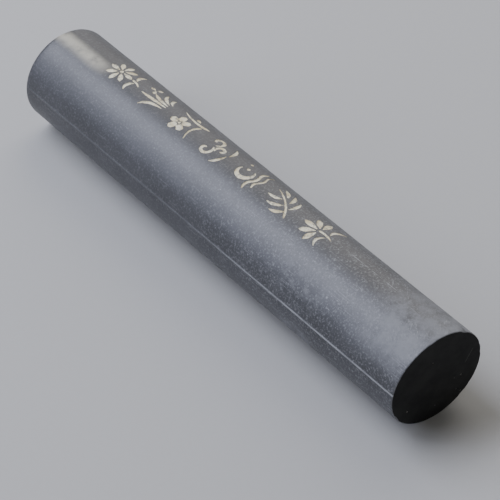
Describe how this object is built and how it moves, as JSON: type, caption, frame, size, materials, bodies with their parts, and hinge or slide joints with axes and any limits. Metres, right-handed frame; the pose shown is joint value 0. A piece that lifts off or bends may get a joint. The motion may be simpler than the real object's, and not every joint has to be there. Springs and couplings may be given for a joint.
{
  "type": "ink stick",
  "caption": "Round moulded ink stick lying on its side, with flat ends, fine mould seams and a column of small gilt-filled plant and cloud ornaments.",
  "frame": {"origin": "under the middle of the stick, at the centre of its overall box, on the surface that it lies on", "axes": "+Z up; Y along the stick, from the near (leaning) end at -Y to the far end at +Y; the ornaments face mostly +Z and read with +Y up"},
  "size_m": [0.018, 0.1, 0.0179],
  "materials": {
    "ink": "burnished dark slate soot ink, satin on the round side and matte on the ends",
    "gilt": "powdery pale gold pigment"
  },
  "bodies": {
    "root": {"gilt_chrysanthemum_button": "gilt", "gilt_chrysanthemum_leaf_1": "gilt", "gilt_chrysanthemum_leaf_2": "gilt", "gilt_chrysanthemum_petal_1": "gilt", "gilt_chrysanthemum_petal_2": "gilt", "gilt_chrysanthemum_petal_3": "gilt", "gilt_chrysanthemum_petal_4": "gilt", "gilt_chrysanthemum_petal_5": "gilt", "gilt_chrysanthemum_petal_6": "gilt", "gilt_chrysanthemum_petal_7": "gilt", "gilt_chrysanthemum_petal_8": "gilt", "gilt_chrysanthemum_stem": "gilt", "gilt_cloud_scroll_1": "gilt", "gilt_cloud_scroll_2": "gilt", "gilt_cloud_scroll_3": "gilt", "gilt_cloud_streak_1": "gilt", "gilt_cloud_streak_2": "gilt", "gilt_lotus_petal_1": "gilt", "gilt_lotus_petal_2": "gilt", "gilt_lotus_petal_3": "gilt", "gilt_lotus_petal_4": "gilt", "gilt_lotus_petal_5": "gilt", "gilt_lotus_ripple_1": "gilt", "gilt_lotus_ripple_2": "gilt", "gilt_lotus_stem": "gilt", "gilt_moon_crescent": "gilt", "gilt_moon_star_1": "gilt", "gilt_moon_star_2": "gilt", "gilt_moon_wave_1": "gilt", "gilt_moon_wave_2": "gilt", "gilt_orchid_leaf_1": "gilt", "gilt_orchid_leaf_2": "gilt", "gilt_orchid_leaf_3": "gilt", "gilt_orchid_leaf_4": "gilt", "gilt_orchid_leaf_5": "gilt", "gilt_orchid_petal_1": "gilt", "gilt_orchid_petal_2": "gilt", "gilt_orchid_petal_3": "gilt", "gilt_plum_branch": "gilt", "gilt_plum_bud": "gilt", "gilt_plum_eye": "gilt", "gilt_plum_petal_1": "gilt", "gilt_plum_petal_2": "gilt", "gilt_plum_petal_3": "gilt", "gilt_plum_petal_4": "gilt", "gilt_plum_petal_5": "gilt", "gilt_plum_twig": "gilt", "gilt_willow_leaf_1": "gilt", "gilt_willow_leaf_2": "gilt", "gilt_willow_leaf_3": "gilt", "gilt_willow_leaf_4": "gilt", "gilt_willow_leaf_5": "gilt", "gilt_willow_leaf_6": "gilt", "gilt_willow_twig": "gilt", "ink_body": "ink"}
  },
  "joints": []
}
